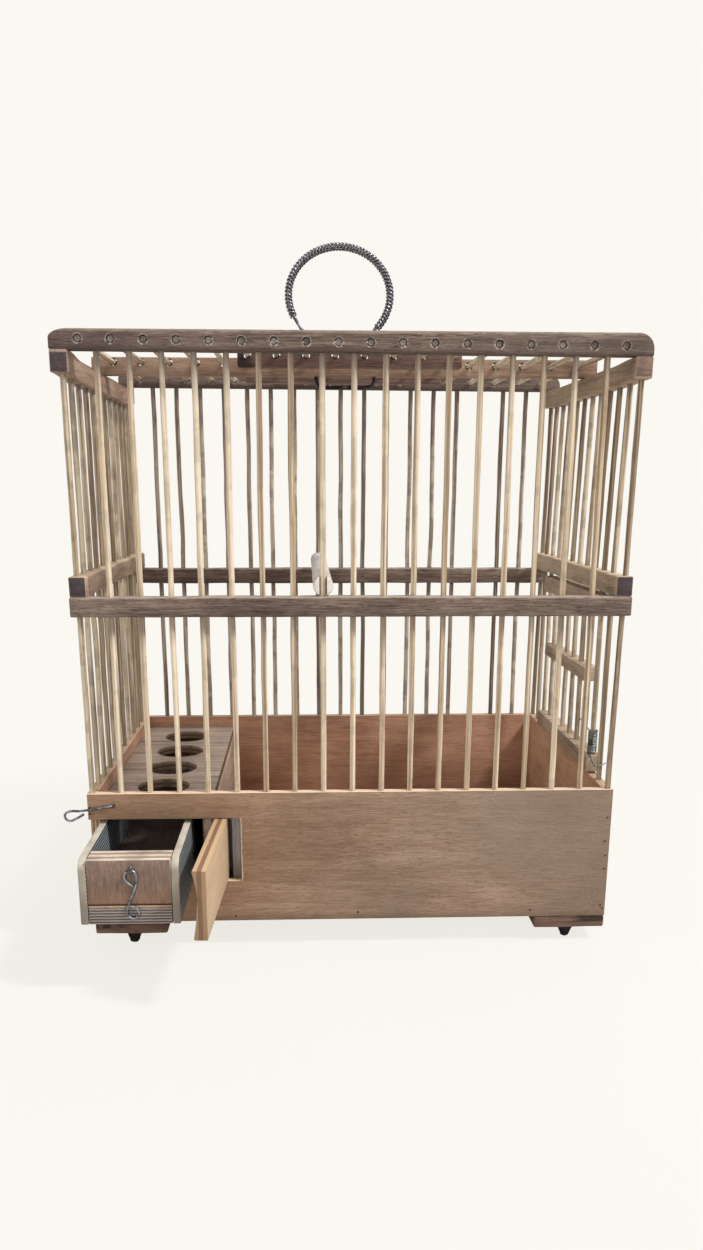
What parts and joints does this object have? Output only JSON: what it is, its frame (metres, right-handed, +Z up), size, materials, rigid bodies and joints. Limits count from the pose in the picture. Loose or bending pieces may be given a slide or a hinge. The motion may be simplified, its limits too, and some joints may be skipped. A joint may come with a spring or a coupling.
{
  "type": "breeding bird cage",
  "caption": "Small wooden cage of round sticks on a plywood base box, with a seed drawer behind a flap, a sprung side door, a perch and a wire carrying ring.",
  "frame": {"origin": "middle of the floor board's underside", "axes": "X to the right as seen from the drawer side, Y to the back, Z up"},
  "size_m": [0.3488, 0.3121, 0.4405],
  "materials": {
    "base_plywood": "worn unvarnished plywood",
    "feeder_plywood": "grey-brown worn plywood",
    "grey_board": "weathered grey board",
    "weathered_rail": "weathered grey-brown hardwood",
    "pale_rail": "bare light wood",
    "dark_cleat": "dark bare wood",
    "sticks": "smooth pale sticks",
    "door_rail": "weathered wood",
    "drawer_plywood": "bare plywood, pale edges",
    "drawer_front": "brown worn plywood",
    "flap_plywood": "fresh light plywood",
    "foot_wood": "rough wood",
    "foot_tip": "matte black",
    "steel_wire": "dull bent wire",
    "wound_grip": "closely wound wire",
    "perch": "matte pale grey"
  },
  "bodies": {
    "cage": {"front_panel": "base_plywood", "back_panel": "base_plywood", "left_panel": "base_plywood", "right_panel": "base_plywood", "floor_board": "base_plywood", "feeder_board": "feeder_plywood", "feeder_riser": "feeder_plywood", "drawer_shelf": "feeder_plywood", "drawer_guide": "feeder_plywood", "stop_board": "grey_board", "top_rail_front": "weathered_rail", "top_rail_back": "weathered_rail", "top_rail_left": "pale_rail", "top_rail_right": "pale_rail", "roof_grille": "pale_rail", "roof_cleat_front": "dark_cleat", "roof_cleat_back": "dark_cleat", "front_grille": "sticks", "back_grille": "sticks", "left_grille": "sticks", "right_grille": "sticks", "right_stick_front": "sticks", "door_hinge_stick": "sticks", "door_stop_stick": "sticks", "right_stick_back": "sticks", "door_spring": "steel_wire", "flap_pin_bottom": "steel_wire", "flap_pin_top": "steel_wire", "corner_stick_front_left": "sticks", "foot_front_left": "foot_wood", "foot_tip_front_left": "foot_tip", "corner_stick_front_right": "sticks", "foot_front_right": "foot_wood", "foot_tip_front_right": "foot_tip", "corner_stick_back_left": "sticks", "foot_back_left": "foot_wood", "foot_tip_back_left": "foot_tip", "corner_stick_back_right": "sticks", "foot_back_right": "foot_wood", "foot_tip_back_right": "foot_tip"},
    "drawer": {"drawer_bottom": "drawer_plywood", "drawer_back": "drawer_plywood", "drawer_side_left": "drawer_plywood", "drawer_side_right": "drawer_plywood", "drawer_front": "drawer_front", "drawer_eye": "steel_wire"},
    "pull": {"drawer_pull": "steel_wire"},
    "flap": {"flap": "flap_plywood"},
    "latch": {"latch_wire": "steel_wire"},
    "side_door": {"door_top_rail": "door_rail", "door_bottom_rail": "door_rail", "door_grille": "door_rail"},
    "handle": {"handle_wire": "steel_wire", "handle_grip": "wound_grip"},
    "perch": {"perch": "perch"}
  },
  "joints": [
    {"name": "drawer_slide", "type": "slide", "parent": "cage", "child": "drawer", "axis": [0, -1, 0], "range_m": [-0.075, 0.09]},
    {"name": "pull_swing", "type": "hinge", "parent": "drawer", "child": "pull", "pos_m": [-0.128, -0.17615, 0.0588], "axis": [-1, 0, 0], "range_deg": [0, 105]},
    {"name": "flap_hinge", "type": "hinge", "parent": "cage", "child": "flap", "pos_m": [-0.08295, -0.108, 0.046], "axis": [0, 0, 1], "range_deg": [-6, 10]},
    {"name": "latch_turn", "type": "hinge", "parent": "cage", "child": "latch", "pos_m": [-0.1498, -0.111, 0.0764], "axis": [0, 1, 0], "range_deg": [-30, 180]},
    {"name": "side_door_hinge", "type": "hinge", "parent": "cage", "child": "side_door", "pos_m": [0.162, -0.06873, 0.143], "axis": [0, 0, 1], "range_deg": [0, 95], "stiffness_Nm_per_rad": 0.03, "springref_deg": -22.92, "deforming": ["door_spring"]},
    {"name": "handle_lift", "type": "slide", "parent": "cage", "child": "handle", "axis": [0, 0, 1], "range_m": [0, 0.003]},
    {"name": "perch_lift", "type": "slide", "parent": "cage", "child": "perch", "axis": [0, 0, 1], "range_m": [0, 0.1]}
  ]
}
